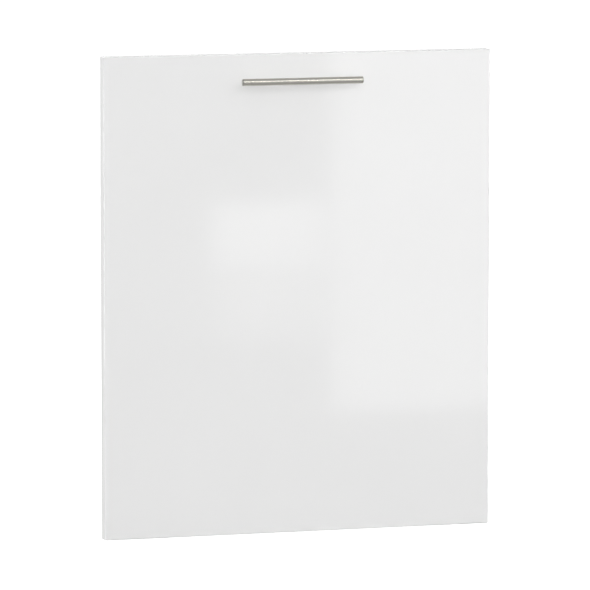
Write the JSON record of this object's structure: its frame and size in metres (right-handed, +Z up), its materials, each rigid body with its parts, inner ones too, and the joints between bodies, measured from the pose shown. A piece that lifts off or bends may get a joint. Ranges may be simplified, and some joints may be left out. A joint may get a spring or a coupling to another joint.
{
  "type": "integrated dishwasher front",
  "caption": "High-gloss furniture front of a fully integrated dishwasher, with a round bar handle, hung on sliding fittings that let it rise as the appliance door opens.",
  "frame": {"origin": "centre of the eight fixing holes of the two brackets, in the plane where the brackets seat on the appliance door", "axes": "+Z up along the slide, +X to the right as seen from the room, -Y out into the room, so +Y points into the appliance"},
  "size_m": [0.596, 0.06, 0.713],
  "materials": {
    "front_gloss": "white high-gloss acrylic",
    "edge_gloss": "white gloss edge band",
    "board": "raw fibreboard",
    "back_melamine": "fine pearl texture",
    "brushed_handle": "satin, brushed along the bar",
    "zinc_screw": "bright zinc",
    "yellow_screw": "yellow passivated steel",
    "black_stud": "black oxide",
    "rail_plastic": "moulded acetal, satin",
    "stop_plastic": "moulded nylon, fine spark texture",
    "slider_plastic": "moulded acetal, satin",
    "bracket_steel": "zinc-plated sheet steel",
    "glide_plastic": "natural polyethylene, waxy"
  },
  "bodies": {
    "appliance_side": {"slider_left": "slider_plastic", "slider_right": "slider_plastic", "slider_nuts_left": "zinc_screw", "slider_nuts_right": "zinc_screw", "appliance_bracket_left": "bracket_steel", "appliance_bracket_right": "bracket_steel", "bracket_bolts_left": "zinc_screw", "bracket_bolts_right": "zinc_screw"},
    "front": {"panel_core": "board", "front_facing": "front_gloss", "back_facing": "back_melamine", "edge_band_top": "edge_gloss", "edge_band_bottom": "edge_gloss", "edge_band_left": "edge_gloss", "edge_band_right": "edge_gloss", "handle_bar": "brushed_handle", "handle_post_left": "brushed_handle", "handle_post_right": "brushed_handle", "post_stud_left": "black_stud", "post_stud_right": "black_stud", "handle_screw_left": "zinc_screw", "handle_screw_right": "zinc_screw", "slide_rail_left": "rail_plastic", "slide_rail_right": "rail_plastic", "rail_screws_left": "yellow_screw", "rail_screws_right": "yellow_screw", "rail_stop_upper_left": "stop_plastic", "rail_stop_lower_left": "stop_plastic", "rail_stop_upper_right": "stop_plastic", "rail_stop_lower_right": "stop_plastic", "stop_screws_left": "yellow_screw", "stop_screws_right": "yellow_screw", "spacer_block_left": "stop_plastic", "spacer_block_right": "stop_plastic", "spacer_glide_left": "glide_plastic", "spacer_glide_right": "glide_plastic", "spacer_screws_left": "yellow_screw", "spacer_screws_right": "yellow_screw"}
  },
  "joints": [
    {"name": "front_slide", "type": "slide", "parent": "appliance_side", "child": "front", "axis": [0, 0, 1], "range_m": [0, 0.06]}
  ]
}
